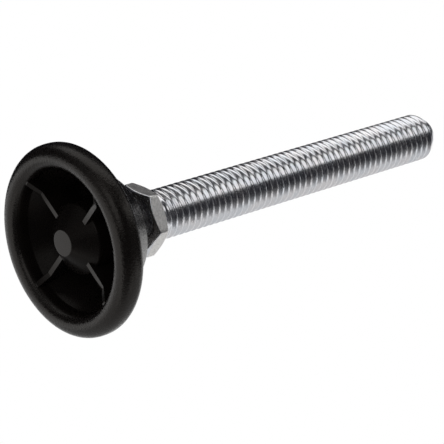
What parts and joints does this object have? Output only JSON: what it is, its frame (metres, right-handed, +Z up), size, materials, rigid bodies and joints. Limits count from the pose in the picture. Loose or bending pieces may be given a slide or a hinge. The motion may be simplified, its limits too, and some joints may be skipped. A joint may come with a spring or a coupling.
{
  "type": "adjustable levelling foot",
  "caption": "Articulated levelling foot: threaded zinc-plated stud with a hexagon collar, on a ball in a round black plastic base with a beaded rim and a ribbed hollow underside",
  "frame": {"origin": "on the floor, under the middle of the round base", "axes": "+Z up along the stud, +X and +Y across the base, midway between two of its underside ribs"},
  "size_m": [0.0295, 0.0294, 0.0787],
  "materials": {
    "base_plastic": "satin moulded black nylon",
    "stud_steel": "bright zinc plating on steel"
  },
  "bodies": {
    "base": {"foot_base": "base_plastic"},
    "stud": {"threaded_stud": "stud_steel"}
  },
  "joints": [
    {"name": "stud_tilt", "type": "hinge", "parent": "base", "child": "stud", "pos_m": [0, 0, 0.0057], "axis": [0, 1, 0], "range_deg": [-15, 15]}
  ]
}
